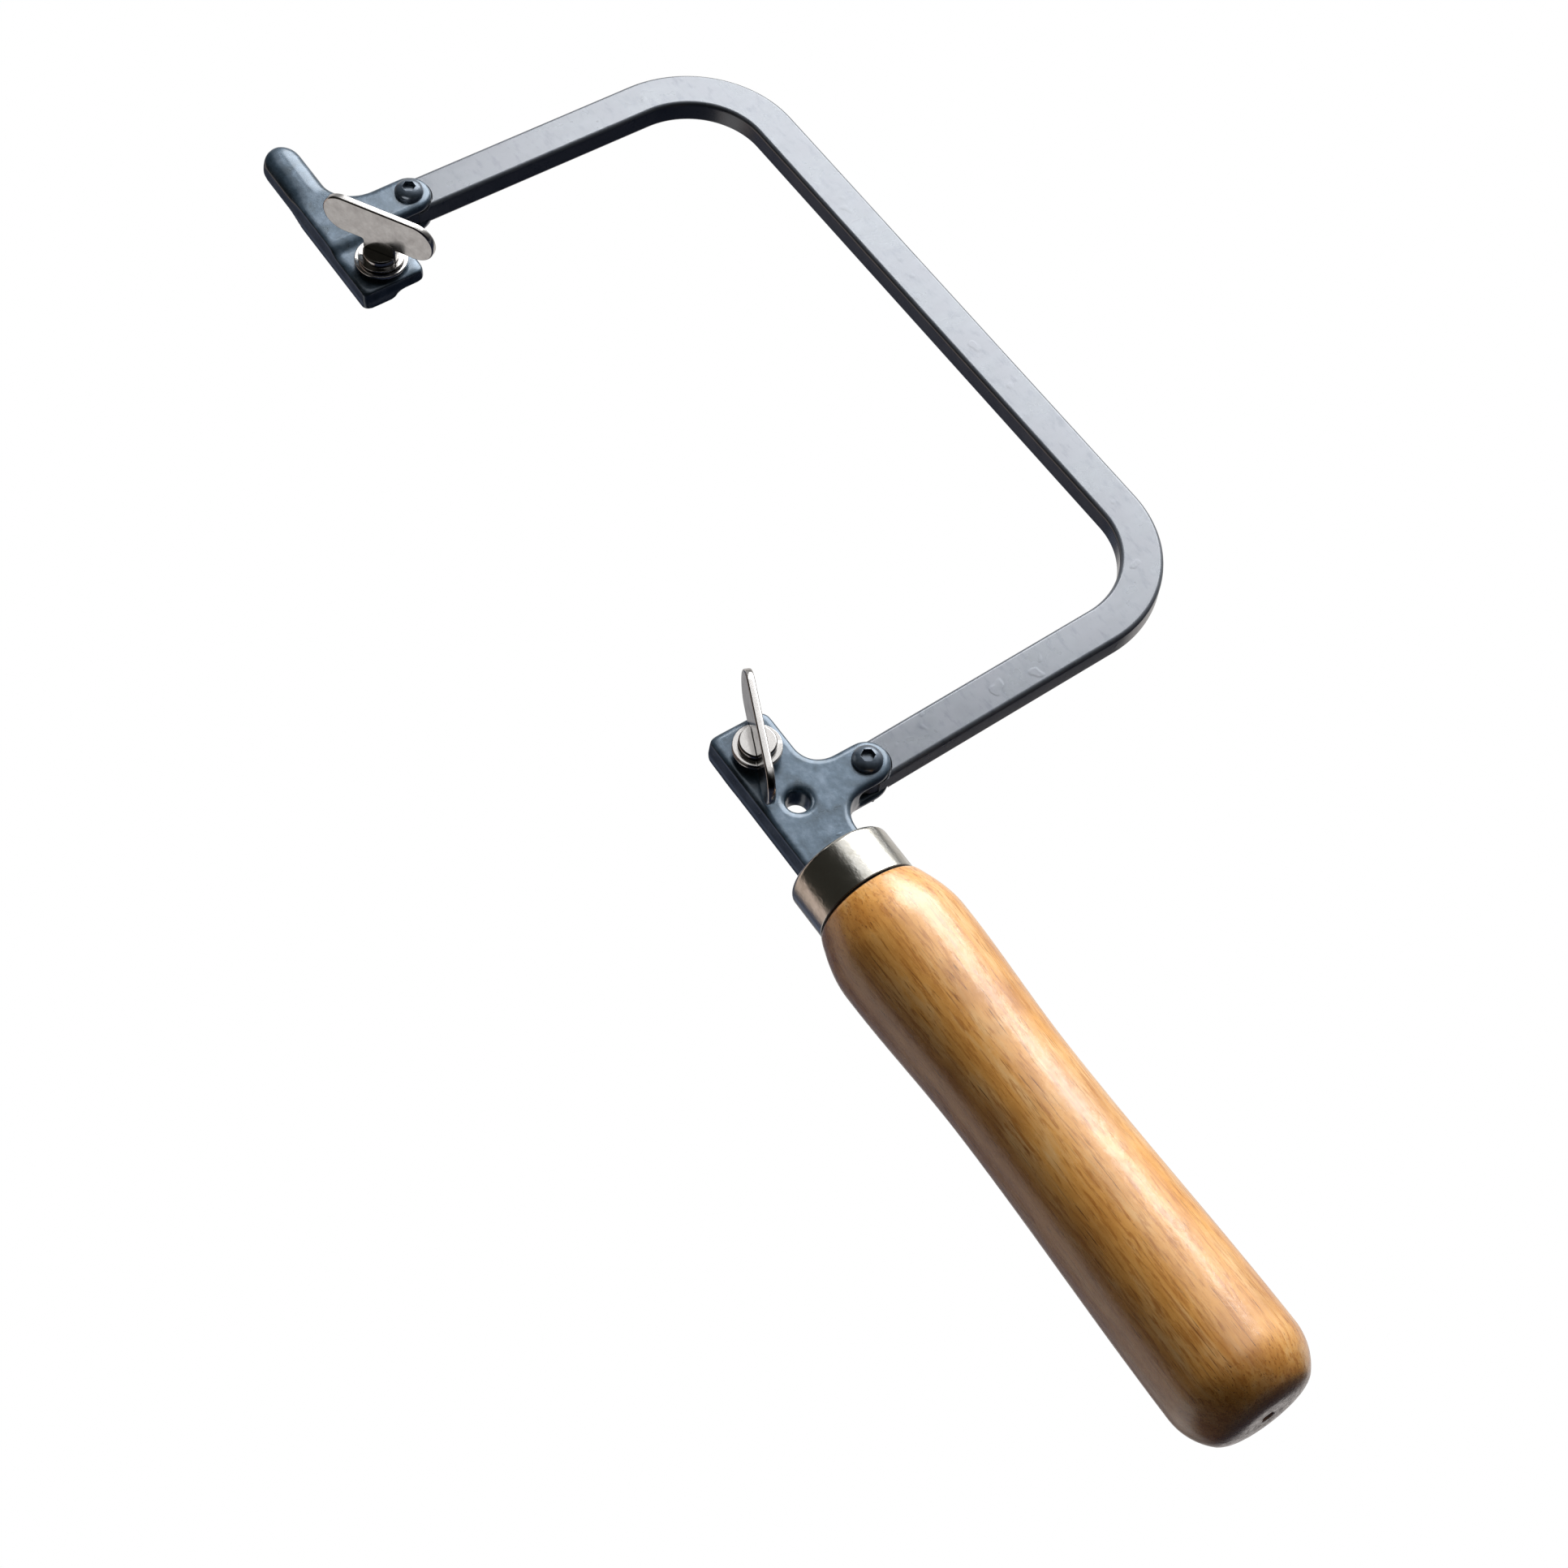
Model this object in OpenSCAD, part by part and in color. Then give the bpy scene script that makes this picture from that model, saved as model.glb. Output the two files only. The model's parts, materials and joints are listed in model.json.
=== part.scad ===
// Fret saw: a painted flat-bar bow, pivoted at both ends on small cast blade clamps,
// with two wing screws that grip the blade and a turned wooden handle in a ferrule.
// The hang hole's centre is the origin. +X runs along the handle to its butt,
// +Y to the bow's spine and +Z up, the way the screw heads face. Lengths are in mm.

/* [Layout] */
// Distance between the two pivots along X
pivot_span = 145.4; // [130:0.1:170]
// Heel pivot, X from the hang hole
heel_pivot_x = -0.3; // [-1:0.1:1]
// Heel pivot, Y from the hang hole
heel_pivot_y = 14; // [13:0.1:18]
// Toe pivot, Y from the hang hole
toe_pivot_y = 13.3; // [13:0.1:18]
// Toe clamp screw, X from the toe pivot
toe_screw_dx = 11.4; // [10.5:0.1:16]
// Heel clamp screw, X from the hang hole
heel_screw_x = -10.9; // [-12:0.1:-10]
// Heel clamp screw, Y from the hang hole
heel_screw_y = -0.8; // [-1.5:0.1:0.5]
// Toe clamp screw, Y from the hang hole
toe_screw_y = 0.8; // [-0.5:0.1:1.5]

/* [Bow] */
// Width of the bow's bar
bar_w = 7.6; // [6:0.1:9]
// Thickness of the bow's bar
bar_t = 4.6; // [3.6:0.1:5.6]
// How much thinner the bar is on each side where the bending stretched it
bend_thinning = 0.02; // [0.015:0.005:0.05]
// How far the full section runs on into each bend
bend_lead = 0.5; // [0.3:0.1:0.6]
// Chamfer along the bar's four edges
bar_edge = 0.5; // [0.2:0.1:0.9]
// Toe arm, from its pivot to the spine's centre line
toe_depth = 67.7; // [50:0.1:110]
// Heel arm, from its pivot to the spine's centre line
heel_depth = 68.8; // [50:0.1:110]
// Bend radius of the bar's centre line
corner_r = 18.7; // [12:0.1:24]
// Inward lean of the toe arm in degrees
toe_lean = 0.9; // [0:0.1:3]
// Inward lean of the heel arm in degrees
heel_lean = 2; // [0:0.1:3]
// How much narrower the tongue's round end is on each side than the bar
tongue_step = 0.2; // [0.1:0.05:0.4]
// Thickness of the flattened tongue at each end
tongue_t = 2.4; // [1.8:0.1:3]
// Gap between a knuckle and the shoulder around it
shoulder_gap = 0.4; // [0.3:0.05:0.8]

/* [Clamp castings] */
// Height of the castings' top face over the bow's mid plane
cast_top = 3.5; // [3:0.1:4.2]
// Depth of the fork cheeks under the mid plane
fork_drop = 3.5; // [3:0.1:4.2]
// Depth of the webs under the mid plane
web_drop = 2.1; // [1.6:0.1:2.6]
// Width of the arms that carry the pivots
arm_w = 7.7; // [7:0.1:9]
// Gap on each side of the tongue in its fork
fork_gap = 0.3; // [0.25:0.05:0.5]
// Radius of the small outline corners
cast_corner_r = 1.5; // [0.8:0.1:2]
// Radius of the threaded boss under each clamp screw
boss_r = 4.25; // [3.6:0.05:5]
// Run of the slope from the toe arm's top down to the pad
pad_slope = 1.8; // [1:0.1:2.4]
// Height of the toe pad's top over the mid plane
toe_pad_top = 2.4; // [2:0.1:2.8]
// Outer edge of the toe casting, Y
toe_outer_y = -5.7; // [-6:0.1:-4.8]
// Upper edge of the toe pad, Y
toe_pad_y = 6.8; // [6:0.1:8]
// Blade end of the toe pad, from the clamp screw
toe_pad_reach = 5; // [4.9:0.1:6]
// Thick front rail of the toe pad, its width
toe_rail_w = 7; // [6:0.1:7.5]
// Thickness of the toe pad behind its rail
toe_pad_t = 3; // [2:0.1:3.6]
// Tip of the toe horn, from the toe pivot
horn_reach = 22.3; // [16:0.1:28]
// Width of the toe horn
horn_w = 6.2; // [5:0.1:6.8]
// Fillet between the horn and the toe arm
horn_fillet_r = 7; // [4:0.1:8]
// Fillet between the toe pad and the toe arm
pad_fillet_r = 2.6; // [1.5:0.1:3]
// Outer edge of the heel casting, Y
heel_outer_y = -6.1; // [-7:0.1:-5.4]
// Inner edge of the heel casting, Y
heel_inner_y = 5.2; // [4.6:0.1:6]
// Blade end of the heel casting, from the clamp screw
heel_reach = 6.6; // [5:0.1:8]
// Fillet between the heel pad and the heel arm
heel_fillet_r = 4.5; // [3:0.1:5]
// Fillet between the heel arm and the neck
neck_fillet_r = 5.5; // [3:0.1:6]
// Depth of the heel boss under the mid plane
heel_boss_drop = 3.5; // [3:0.1:4.2]
// Radius of the hang hole
hang_r = 2.3; // [1.8:0.1:3]
// Chamfer at the hang hole's rims
hang_chamfer = 0.35; // [0.2:0.05:0.6]
// Tang inside the handle, its width along Y
tang_w = 8; // [6:0.1:9]
// Tang inside the handle, its length
tang_len = 60; // [40:1:70]

/* [Pivot screws] */
// Radius of the pivot screws' shank
pivot_r = 1.5; // [1.2:0.05:1.8]
// Radial clearance of the tongue on the shank
pivot_fit = 0.05; // [0.02:0.01:0.1]
// Radius of the button head
button_r = 2.65; // [2.3:0.05:3.4]
// Height of the button head
button_h = 1.8; // [1.4:0.05:2.4]
// Straight rim under the button head's dome
button_rim = 0.3; // [0.15:0.05:0.5]
// Hexagon socket, its width across flats
socket_af = 2.2; // [1.8:0.1:2.5]
// Depth of the hexagon socket
socket_depth = 1.1; // [0.7:0.05:1.4]
// Pivot nut, its width across flats
nut_af = 5.5; // [5:0.1:6.5]
// Pivot nut, its height
nut_h = 1.8; // [1.4:0.1:2.4]
// Length of shank that shows past the nut
thread_end = 0.7; // [0.4:0.1:1.2]

/* [Wing screws] */
// Radius of the clamp screws' shank
screw_r = 1.95; // [1.6:0.05:2.4]
// Radial clearance of the shank in its casting
screw_fit = 0.05; // [0.02:0.01:0.1]
// Length of the shank under its flange
screw_len = 10; // [9:0.1:12]
// Radius of the flange
flange_r = 4.15; // [3.8:0.05:4.8]
// Thickness of the flange
flange_t = 0.5; // [0.4:0.05:0.8]
// Radius of the slotted barrel
barrel_r = 3.25; // [2.9:0.05:3.7]
// Height of the slotted barrel
barrel_h = 1.3; // [1.1:0.05:2]
// Chamfer on the screw's round edges
screw_chamfer = 0.25; // [0.1:0.05:0.4]
// Length of the toe wing's plate
toe_wing_len = 22.2; // [18:0.1:23]
// Length of the heel wing's plate
heel_wing_len = 25; // [18:0.1:25.5]
// Height of the wing plate
wing_h = 8.2; // [7:0.1:8.6]
// Thickness of the wing plate
wing_t = 1.4; // [1:0.05:1.8]
// Clearance on each side of the wing in its slot
wing_fit = 0.05; // [0.02:0.01:0.1]
// Gap around the flange in the wing's lower edge
wing_notch_gap = 0.3; // [0.2:0.05:0.5]
// Toe wing, its centre over the flange
toe_wing_seat = 7.3; // [6:0.1:9]
// Heel wing, its centre over the flange
heel_wing_seat = 2.7; // [2.5:0.1:9]
// Toe wing, its turn from +X in degrees
toe_wing_turn = 31; // [0:1:180]
// Heel wing, its turn from +X in degrees
heel_wing_turn = -24; // [-90:1:90]
// Outer radius of the toe clamp washer
toe_washer_r = 4.85; // [4.3:0.05:4.9]
// Outer radius of the heel clamp washer
heel_washer_r = 4.2; // [4:0.05:5]
// Thickness of the clamp washers
washer_t = 0.6; // [0.5:0.05:1]
// Gap between a washer and its flange
washer_gap = 0.2; // [0.2:0.05:0.4]
// Gap under the toe washer at rest
toe_lift = 1.1; // [0.3:0.05:3]
// Gap under the heel washer at rest
heel_lift = 1.5; // [1:0.05:3]

/* [Handle] */
// Front end of the ferrule, X
ferrule_x = 11.6; // [11:0.1:14]
// Length of the ferrule
ferrule_len = 9; // [7:0.1:12]
// Outer radius of the ferrule
ferrule_r = 9.3; // [9:0.1:11]
// Wall of the ferrule
ferrule_wall = 0.7; // [0.5:0.05:0.9]
// Inner radius of the ferrule's turned-in lip
lip_r = 7.6; // [7.3:0.1:8]
// Outer edge radius of the turned-in lip
lip_edge_r = 1.1; // [0.8:0.1:1.4]
// Gap between the wood and the ferrule
wood_gap = 0.05; // [0.02:0.01:0.1]
// Radius of the wood where it leaves the ferrule
shoulder_r = 9.5; // [9.3:0.1:12]
// Length from the ferrule to the front swell
swell_x = 10.4; // [8:0.1:14]
// Radius at the front swell
swell_r = 12; // [11.5:0.05:13.5]
// Length from the ferrule to the waist
waist_x = 40.5; // [30:0.5:50]
// Radius at the waist
waist_r = 11.05; // [10:0.05:12]
// Length from the ferrule to the end of the rear swell
rear_x = 94.2; // [80:0.5:110]
// Radius at the rear swell
rear_r = 12; // [11.5:0.05:13.5]
// Radius of the butt's rounded edge
butt_edge_r = 10.4; // [9.5:0.1:11]
// Length of the rounded edge along the handle
butt_edge_len = 8.7; // [7:0.1:9]
// Radius of the lathe centre mark in the butt
dimple_r = 1; // [0.5:0.1:1.5]
// Depth of the lathe centre mark
dimple_depth = 0.7; // [0.3:0.1:1]

/* [Hidden] */
// Overlap that lets a cut run past the face it opens
cut = bar_t / 4;
knuckle_r = arm_w / 2;
tongue_r = bar_w / 2 - tongue_step;
toe_pivot_x = heel_pivot_x - pivot_span;
toe_pivot = [toe_pivot_x, toe_pivot_y];
heel_pivot = [heel_pivot_x, heel_pivot_y];
toe_screw_x = toe_pivot_x + toe_screw_dx;
toe_screw = [toe_screw_x, toe_screw_y];
heel_screw = [heel_screw_x, heel_screw_y];
toe_corner = toe_pivot + toe_depth * [tan(toe_lean), 1];
heel_corner = heel_pivot + heel_depth * [-tan(heel_lean), 1];
spine = heel_corner - toe_corner;
spine_turn = atan2(spine[1], spine[0]);
toe_bend = 90 - toe_lean - spine_turn;
heel_bend = 90 - heel_lean + spine_turn;
toe_tangent = corner_r * tan(toe_bend / 2);
heel_tangent = corner_r * tan(heel_bend / 2);
toe_flange_z = toe_pad_top + toe_lift + washer_t + washer_gap;
heel_flange_z = cast_top + heel_lift + washer_t + washer_gap;
toe_pad_x = toe_screw_x + toe_pad_reach;
horn_y = toe_outer_y + horn_w;
wood_x = ferrule_x + ferrule_wall + wood_gap;
ferrule_end = ferrule_x + ferrule_len;
colour_paint = [0.09, 0.11, 0.15];
colour_cast = [0.45, 0.5, 0.56];
colour_nickel = [0.78, 0.77, 0.74];
colour_wood = [0.85, 0.6, 0.32];

// Section of the bar: its width along X, its thickness along Y
module bar_section(thinner = 0) {
    w = bar_w / 2 - thinner;
    t = bar_t / 2 - thinner;
    e = bar_edge;
    polygon([[w - e, -t], [w, e - t], [w, t - e], [w - e, t],
             [e - w, t], [-w, t - e], [-w, e - t], [e - w, -t]]);
}

// Straight bar from a point, `turn` degrees from +Y
module straight(start, turn, length) {
    translate([start[0], start[1], 0])
        rotate([90, 0, 180 + turn])
            linear_extrude(length) bar_section();
}

// Bend of the bar about a centre
module bend(centre, from, turn) {
    translate([centre[0], centre[1], 0])
        rotate([0, 0, from])
            rotate_extrude(angle = turn, $fn = 96)
                translate([corner_r, 0]) bar_section(bend_thinning);
}

module tongue_relief(pivot) {
    for (side = [-1, 1])
        translate([pivot[0], pivot[1], side * (tongue_t + bar_t) / 2])
            cylinder(r = knuckle_r + shoulder_gap, h = bar_t, center = true, $fn = 64);
}

module bow() {
    toe_dir = [sin(toe_lean), cos(toe_lean)];
    heel_dir = [-sin(heel_lean), cos(heel_lean)];
    toe_bend_start = toe_corner - toe_tangent * toe_dir;
    heel_bend_start = heel_corner - heel_tangent * heel_dir;
    spine_dir = [cos(spine_turn), sin(spine_turn)];
    color(colour_paint) difference() {
        union() {
            straight(toe_pivot, -toe_lean, norm(toe_bend_start - toe_pivot) + bend_lead);
            straight(heel_pivot, heel_lean, norm(heel_bend_start - heel_pivot) + bend_lead);
            straight(toe_corner + (toe_tangent - bend_lead) * spine_dir, spine_turn - 90,
                     norm(spine) - toe_tangent - heel_tangent + 2 * bend_lead);
            bend(toe_bend_start + corner_r * [cos(toe_lean), -sin(toe_lean)],
                 90 + spine_turn, toe_bend);
            bend(heel_bend_start - corner_r * [cos(heel_lean), sin(heel_lean)],
                 heel_lean, heel_bend);
            for (pivot = [toe_pivot, heel_pivot])
                translate([pivot[0], pivot[1], 0])
                    cylinder(r = tongue_r, h = tongue_t, center = true, $fn = 64);
        }
        tongue_relief(toe_pivot);
        tongue_relief(heel_pivot);
        for (pivot = [toe_pivot, heel_pivot])
            translate([pivot[0], pivot[1], 0])
                cylinder(r = pivot_r + pivot_fit, h = bar_t, center = true, $fn = 48);
    }
}

// Rectangle between two corners with rounded corners
module round_rect(low, high, r) {
    translate([low[0] + r, low[1]]) square([high[0] - low[0] - 2 * r, high[1] - low[1]]);
    translate([low[0], low[1] + r]) square([high[0] - low[0], high[1] - low[1] - 2 * r]);
    for (x = [low[0] + r, high[0] - r], y = [low[1] + r, high[1] - r])
        translate([x, y]) circle(r, $fn = 48);
}

// Concave fillet in a corner, growing along the two signs
module fillet(corner, r, sign_x, sign_y) {
    translate(corner) difference() {
        translate([sign_x < 0 ? -r : 0, sign_y < 0 ? -r : 0]) square(r);
        translate([sign_x * r, sign_y * r]) circle(r, $fn = 64);
    }
}

module slab(low, high) {
    translate([0, 0, low]) linear_extrude(high - low) children();
}

// Arm outline from a level up to the round knuckle on the pivot
module arm_outline(pivot, from_y) {
    translate([pivot[0] - knuckle_r, from_y]) square([arm_w, pivot[1] - from_y]);
    translate(pivot) circle(knuckle_r, $fn = 64);
}

// Open slot for the bow's tongue, and the pivot hole through both cheeks
module fork_cuts(pivot) {
    slot_t = tongue_t + 2 * fork_gap;
    root = tongue_r + fork_gap;
    translate([pivot[0] - arm_w, pivot[1] - root, -slot_t / 2])
        cube([2 * arm_w, root + arm_w, slot_t]);
    translate([pivot[0], pivot[1], -fork_drop - cut])
        cylinder(r = pivot_r, h = fork_drop + cast_top + 2 * cut, $fn = 48);
}

module screw_hole(screw) {
    translate([screw[0], screw[1], -fork_drop - cut])
        cylinder(r = screw_r + screw_fit, h = fork_drop + cast_top + 2 * cut, $fn = 48);
}

// Horn's rounded outline, run on along the outer wall to the pad
module horn_outline() {
    r = horn_w / 2;
    tip = toe_pivot_x - horn_reach;
    translate([tip + r, toe_outer_y + r]) circle(r, $fn = 48);
    translate([tip + r, toe_outer_y]) square([horn_reach + knuckle_r - r, horn_w]);
}

// Slope from the arm's top down to the recessed pad
module toe_slope(from_x) {
    width = toe_pad_y - toe_outer_y - cast_corner_r;
    low = toe_pad_top - cut / 2;
    translate([0, toe_pad_y - cast_corner_r, 0])
        rotate([90, 0, 0])
            linear_extrude(width)
                polygon([[from_x - cut, low], [from_x + pad_slope, low],
                         [from_x + pad_slope, toe_pad_top], [from_x, cast_top],
                         [from_x - cut, cast_top]]);
}

module toe_jaw() {
    arm_low = toe_pivot_x - knuckle_r;
    arm_high = toe_pivot_x + knuckle_r;
    color(colour_cast) difference() {
        union() {
            slab(-fork_drop, cast_top) arm_outline(toe_pivot, horn_y);
            slab(-web_drop, cast_top) {
                round_rect([arm_low, toe_outer_y], [arm_high, toe_pad_y], cast_corner_r);
                horn_outline();
                fillet([arm_low, horn_y], horn_fillet_r, -1, 1);
            }
            slab(-web_drop, toe_pad_top)
                round_rect([toe_pivot_x, toe_outer_y], [toe_pad_x, toe_outer_y + toe_rail_w],
                           cast_corner_r);
            slab(toe_pad_top - toe_pad_t, toe_pad_top) {
                round_rect([toe_pivot_x, toe_outer_y], [toe_pad_x, toe_pad_y], cast_corner_r);
                fillet([arm_high, toe_pad_y], pad_fillet_r, 1, 1);
            }
            translate([toe_screw_x, toe_screw_y, -web_drop])
                cylinder(r = boss_r, h = web_drop + toe_pad_top, $fn = 64);
            toe_slope(arm_high);
        }
        fork_cuts(toe_pivot);
        screw_hole(toe_screw);
    }
}

module hang_hole() {
    low = -web_drop;
    translate([0, 0, low - cut])
        cylinder(r = hang_r, h = web_drop + cast_top + 2 * cut, $fn = 64);
    translate([0, 0, low - cut])
        cylinder(r1 = hang_r + hang_chamfer + cut, r2 = hang_r, h = hang_chamfer + cut, $fn = 64);
    translate([0, 0, cast_top - hang_chamfer])
        cylinder(r1 = hang_r, r2 = hang_r + hang_chamfer + cut, h = hang_chamfer + cut, $fn = 64);
}

module heel_jaw() {
    arm_low = heel_pivot_x - knuckle_r;
    arm_high = heel_pivot_x + knuckle_r;
    low = [heel_screw_x - heel_reach, heel_outer_y];
    color(colour_cast) difference() {
        union() {
            slab(-fork_drop, cast_top) arm_outline(heel_pivot, heel_inner_y);
            slab(-web_drop, cast_top) {
                round_rect(low, [heel_pivot_x, heel_inner_y], cast_corner_r);
                translate([low[0] + cast_corner_r, heel_outer_y])
                    square([wood_x - low[0] - cast_corner_r, heel_inner_y - heel_outer_y]);
                fillet([arm_low, heel_inner_y], heel_fillet_r, -1, 1);
                fillet([arm_high, heel_inner_y], neck_fillet_r, 1, 1);
            }
            translate([heel_screw_x, heel_screw_y, -heel_boss_drop])
                cylinder(r = boss_r, h = heel_boss_drop + cast_top, $fn = 64);
            translate([wood_x - cut, -tang_w / 2, -web_drop])
                cube([tang_len + cut, tang_w, 2 * web_drop]);
        }
        fork_cuts(heel_pivot);
        screw_hole(heel_screw);
        hang_hole();
    }
}

// Button-headed pivot screw, from its seat on the casting down past its nut
module pivot_screw(pivot) {
    dome = button_h - button_rim;
    shank = cast_top + fork_drop + nut_h + thread_end;
    color(colour_paint) translate([pivot[0], pivot[1], cast_top]) difference() {
        union() {
            rotate_extrude($fn = 64)
                polygon([[0, 0], [button_r, 0],
                         for (a = [0 : 10 : 90]) [button_r * cos(a), button_rim + dome * sin(a)]]);
            translate([0, 0, -shank]) cylinder(r = pivot_r, h = shank + button_rim, $fn = 48);
        }
        translate([0, 0, button_h - socket_depth])
            cylinder(r = socket_af / 2 / cos(30), h = socket_depth + cut, $fn = 6);
    }
}

module pivot_nut(pivot) {
    color(colour_paint) translate([pivot[0], pivot[1], -fork_drop - nut_h]) difference() {
        cylinder(r = nut_af / 2 / cos(30), h = nut_h, $fn = 6);
        translate([0, 0, -cut]) cylinder(r = pivot_r, h = nut_h + 2 * cut, $fn = 48);
    }
}

module toe_pivot_screw() {
    pivot_screw(toe_pivot);
}

module toe_pivot_nut() {
    pivot_nut(toe_pivot);
}

module heel_pivot_screw() {
    pivot_screw(heel_pivot);
}

module heel_pivot_nut() {
    pivot_nut(heel_pivot);
}

// Flanged clamp screw with a slot across its barrel for the wing
module thumb_screw(screw, flange_z, turn) {
    c = screw_chamfer;
    slot_w = wing_t + 2 * wing_fit;
    color(colour_nickel) translate([screw[0], screw[1], flange_z]) rotate([0, 0, turn]) difference() {
        rotate_extrude($fn = 64)
            polygon([[0, -screw_len], [screw_r - 2 * c, -screw_len], [screw_r, 2 * c - screw_len],
                     [screw_r, 0], [flange_r - c, 0], [flange_r, c], [flange_r, flange_t],
                     [barrel_r, flange_t], [barrel_r, flange_t + barrel_h - c],
                     [barrel_r - c, flange_t + barrel_h], [0, flange_t + barrel_h]]);
        translate([-barrel_r - cut, -slot_w / 2, flange_t])
            cube([2 * (barrel_r + cut), slot_w, barrel_h + cut]);
    }
}

// Wing plate with round ends, its tongue in the screw's slot
module wing(screw, flange_z, seat, turn, length) {
    r = wing_h / 2;
    notch_w = flange_r + wing_notch_gap;
    color(colour_nickel)
        translate([screw[0], screw[1], flange_z + flange_t + seat])
            rotate([90, 0, turn])
                linear_extrude(wing_t, center = true)
                    difference() {
                        union() {
                            for (x = [r - length / 2, length / 2 - r])
                                translate([x, 0]) circle(r, $fn = 64);
                            square([length - wing_h, wing_h], center = true);
                            translate([-barrel_r, -seat]) square([2 * barrel_r, seat]);
                        }
                        translate([-notch_w, -seat - wing_h]) square([2 * notch_w, wing_h]);
                    }
}

module clamp_washer(screw, r, z) {
    color(colour_nickel) translate([screw[0], screw[1], z]) difference() {
        cylinder(r = r, h = washer_t, $fn = 64);
        translate([0, 0, -cut]) cylinder(r = screw_r + screw_fit, h = washer_t + 2 * cut, $fn = 48);
    }
}

module toe_thumb_screw() {
    thumb_screw(toe_screw, toe_flange_z, toe_wing_turn);
}

module toe_wing() {
    wing(toe_screw, toe_flange_z, toe_wing_seat, toe_wing_turn, toe_wing_len);
}

module toe_clamp_washer() {
    clamp_washer(toe_screw, toe_washer_r, toe_pad_top + toe_lift);
}

module heel_thumb_screw() {
    thumb_screw(heel_screw, heel_flange_z, heel_wing_turn);
}

module heel_wing() {
    wing(heel_screw, heel_flange_z, heel_wing_seat, heel_wing_turn, heel_wing_len);
}

module heel_clamp_washer() {
    clamp_washer(heel_screw, heel_washer_r, cast_top + heel_lift);
}

// Turns a profile of [X, radius] points about the X axis
module turned() {
    rotate([0, 90, 0]) rotate_extrude($fn = 96) rotate([0, 0, 90]) mirror([0, 1, 0]) children();
}

module ferrule() {
    e = lip_edge_r;
    inner = ferrule_r - ferrule_wall;
    lip_x = ferrule_x + ferrule_wall;
    color(colour_nickel) turned()
        polygon([[ferrule_x, lip_r],
                 for (a = [0 : 15 : 90])
                     [ferrule_x + e * (1 - cos(a)), ferrule_r - e * (1 - sin(a))],
                 [ferrule_end, ferrule_r], [ferrule_end, inner], [lip_x, inner], [lip_x, lip_r]]);
}

// Smooth step between two radii along the handle
function ease(a, b, t) = a + (b - a) * (1 - cos(180 * t)) / 2;

module handle() {
    spigot_r = ferrule_r - ferrule_wall - wood_gap;
    x0 = ferrule_end;
    edge_low = rear_r - butt_edge_r;
    color(colour_wood) difference() {
        turned()
            polygon([[wood_x, 0], [wood_x, spigot_r], [x0, spigot_r],
                     for (t = [0 : 0.125 : 1])
                         [x0 + swell_x * t, shoulder_r + (swell_r - shoulder_r) * sin(90 * t)],
                     for (t = [0.1 : 0.1 : 1])
                         [x0 + swell_x + (waist_x - swell_x) * t, ease(swell_r, waist_r, t)],
                     for (t = [0.1 : 0.1 : 1])
                         [x0 + waist_x + (rear_x - waist_x) * t, ease(waist_r, rear_r, t)],
                     for (t = [0.125 : 0.125 : 1])
                         [x0 + rear_x + butt_edge_len * t,
                          edge_low + sqrt(pow(butt_edge_r, 2) - pow(butt_edge_len * t, 2))],
                     [x0 + rear_x + butt_edge_len, dimple_r],
                     [x0 + rear_x + butt_edge_len - dimple_depth, 0]]);
        translate([wood_x - cut, -tang_w / 2, -web_drop])
            cube([tang_len + cut, tang_w, 2 * web_drop]);
    }
}

bow();
toe_jaw();
heel_jaw();
toe_pivot_screw();
toe_pivot_nut();
heel_pivot_screw();
heel_pivot_nut();
toe_thumb_screw();
toe_wing();
toe_clamp_washer();
heel_thumb_screw();
heel_wing();
heel_clamp_washer();
ferrule();
handle();
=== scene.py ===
import json
import math

import bmesh
import bpy
from mathutils import Euler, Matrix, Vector

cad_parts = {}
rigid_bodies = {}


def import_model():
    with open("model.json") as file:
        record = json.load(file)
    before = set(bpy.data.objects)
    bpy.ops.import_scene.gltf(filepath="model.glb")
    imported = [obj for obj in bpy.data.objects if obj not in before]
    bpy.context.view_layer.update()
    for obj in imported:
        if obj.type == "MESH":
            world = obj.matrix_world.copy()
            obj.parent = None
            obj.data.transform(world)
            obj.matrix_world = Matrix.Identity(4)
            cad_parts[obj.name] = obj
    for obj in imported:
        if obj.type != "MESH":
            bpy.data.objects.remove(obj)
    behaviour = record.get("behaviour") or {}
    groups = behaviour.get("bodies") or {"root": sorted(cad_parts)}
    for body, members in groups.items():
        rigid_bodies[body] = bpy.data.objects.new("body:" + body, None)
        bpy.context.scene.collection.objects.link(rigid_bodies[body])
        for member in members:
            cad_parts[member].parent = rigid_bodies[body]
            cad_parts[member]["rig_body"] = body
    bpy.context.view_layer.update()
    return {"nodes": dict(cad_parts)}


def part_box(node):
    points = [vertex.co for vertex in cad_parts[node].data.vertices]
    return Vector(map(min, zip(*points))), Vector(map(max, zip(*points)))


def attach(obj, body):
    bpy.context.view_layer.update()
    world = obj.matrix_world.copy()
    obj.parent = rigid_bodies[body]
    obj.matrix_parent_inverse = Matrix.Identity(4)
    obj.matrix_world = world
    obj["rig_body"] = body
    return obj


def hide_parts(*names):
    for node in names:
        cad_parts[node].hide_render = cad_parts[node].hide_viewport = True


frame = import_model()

# Every size below is in millimetres and every angle in degrees, unless its comment says otherwise.
MM = 0.001

# Bow: bar section, bend radius, and the depth and lean of its two arms
BAR_W, BAR_T, BAR_EDGE, BEND_R = 7.6, 4.6, 0.8, 18.7
TOE_DEPTH, TOE_LEAN, HEEL_DEPTH, HEEL_LEAN = 67.7, 0.9, 68.8, 2.0
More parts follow.
